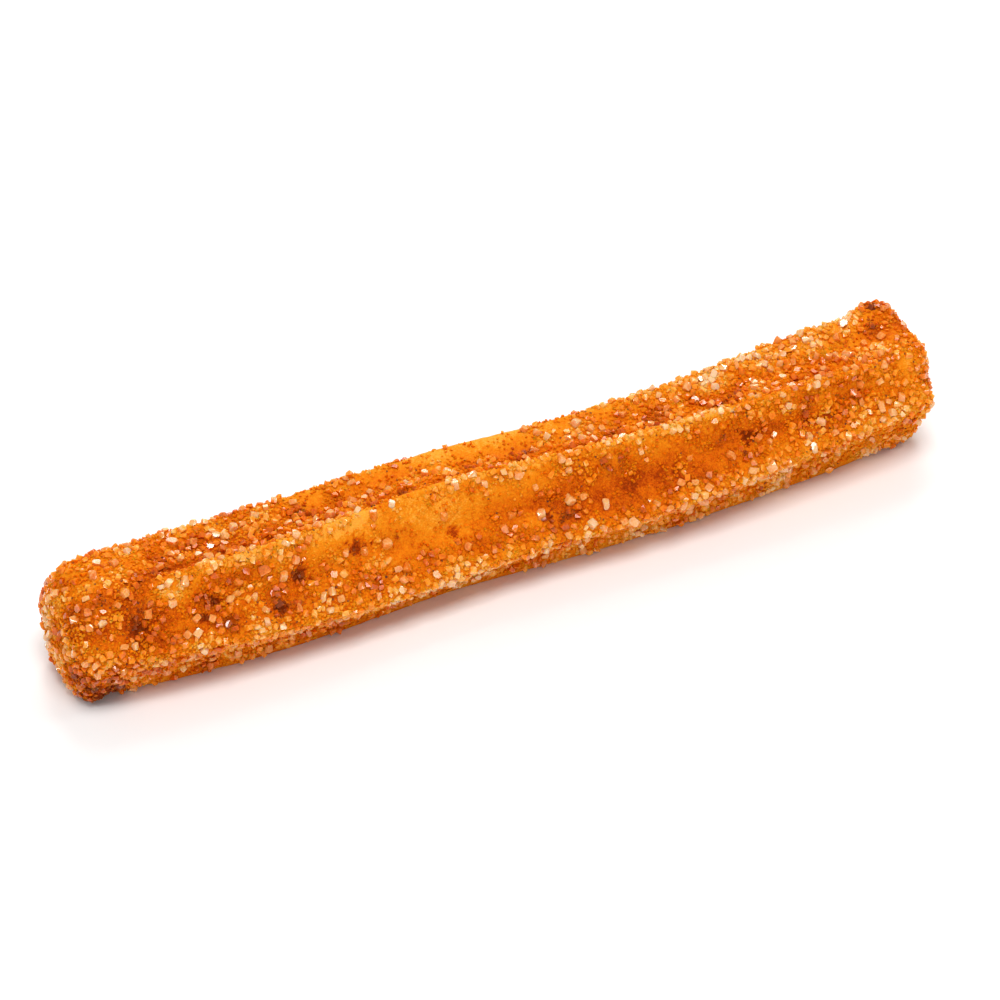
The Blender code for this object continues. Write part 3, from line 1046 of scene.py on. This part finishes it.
def add_light(name, azimuth, elevation, distance, size, power, target):
    light = bpy.data.lights.new(name, "AREA")
    light.shape = "DISK"
    light.size = size
    light.energy = power
    obj = bpy.data.objects.new(name, light)
    bpy.context.scene.collection.objects.link(obj)
    away = direction(azimuth, elevation)
    obj.location = target + distance * away
    obj.rotation_euler = (-away).to_track_quat("-Z", "Y").to_euler()


def direction(azimuth, elevation):
    """From the object towards a viewer there. Azimuth 0 is in front (-Y), 90 is to the right (+X)."""
    a, e = math.radians(azimuth), math.radians(elevation)
    return Vector((math.sin(a) * math.cos(e), -math.cos(a) * math.cos(e), math.sin(e)))


def set_world(strength):
    world = bpy.data.worlds.new("studio")
    world.use_nodes = True
    background = world.node_tree.nodes["Background"]
    background.inputs["Color"].default_value = (1.0, 1.0, 1.0, 1.0)
    background.inputs["Strength"].default_value = strength
    bpy.context.scene.world = world


def add_camera(target):
    camera = bpy.data.cameras.new("photo_view")
    camera.lens = CAMERA_LENS
    camera.sensor_width = CAMERA_SENSOR
    camera.clip_start = 0.01
    obj = bpy.data.objects.new("photo_view", camera)
    bpy.context.scene.collection.objects.link(obj)
    away = direction(CAMERA_AZIMUTH, CAMERA_ELEVATION)
    obj.location = target + CAMERA_DISTANCE * away
    obj.rotation_euler = (-away).to_track_quat("-Z", "Y").to_euler()
    bpy.context.scene.camera = obj


def main():
    for obj in [bpy.data.objects.get(name) for name in ("Cube", "Light", "Camera")]:
        if obj:
            bpy.data.objects.remove(obj, do_unlink=True)
    low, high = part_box("churro")
    target = (low + high) / 2
    skin = make_skin()
    skin.data.materials.append(crust_material())
    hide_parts("churro")
    crowd = Crowd()
    rng = np.random.default_rng(SEED)
    grains = make_grains(crowd)
    large = make_crystals("sugar_large", skin, crowd, rng, **LARGE)
    middle = make_crystals("sugar_middle", skin, crowd, rng, **MIDDLE)
    fine = make_crystals("sugar_fine", skin, crowd, rng, **FINE)
    dust = make_crystals("cinnamon_dust", skin, Crowd(), rng, **CINNAMON)
    clear = sugar_material("clear_sugar", **COARSE_LOOK)
    for piece in (grains, large):
        piece.data.materials.append(clear)
    middle.data.materials.append(sugar_material("middle_sugar", **MIDDLE_LOOK))
    fine.data.materials.append(sugar_material("fine_sugar", **FINE_LOOK))
    dust.data.materials.append(cinnamon_material())
    for piece in (skin, grains, large, middle, fine, dust):
        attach(piece, "root")
    make_floor()
    set_world(WORLD_STRENGTH)
    add_light("key", *KEY_LIGHT, target)
    add_light("fill", *FILL_LIGHT, target)
    add_light("rim", *RIM_LIGHT, target)
    for number, glint in enumerate(GLINT_LIGHTS):
        add_light(f"glint_{number}", *glint, target)
    add_camera(target)
    bpy.context.scene.view_settings.view_transform = "Standard"


main()
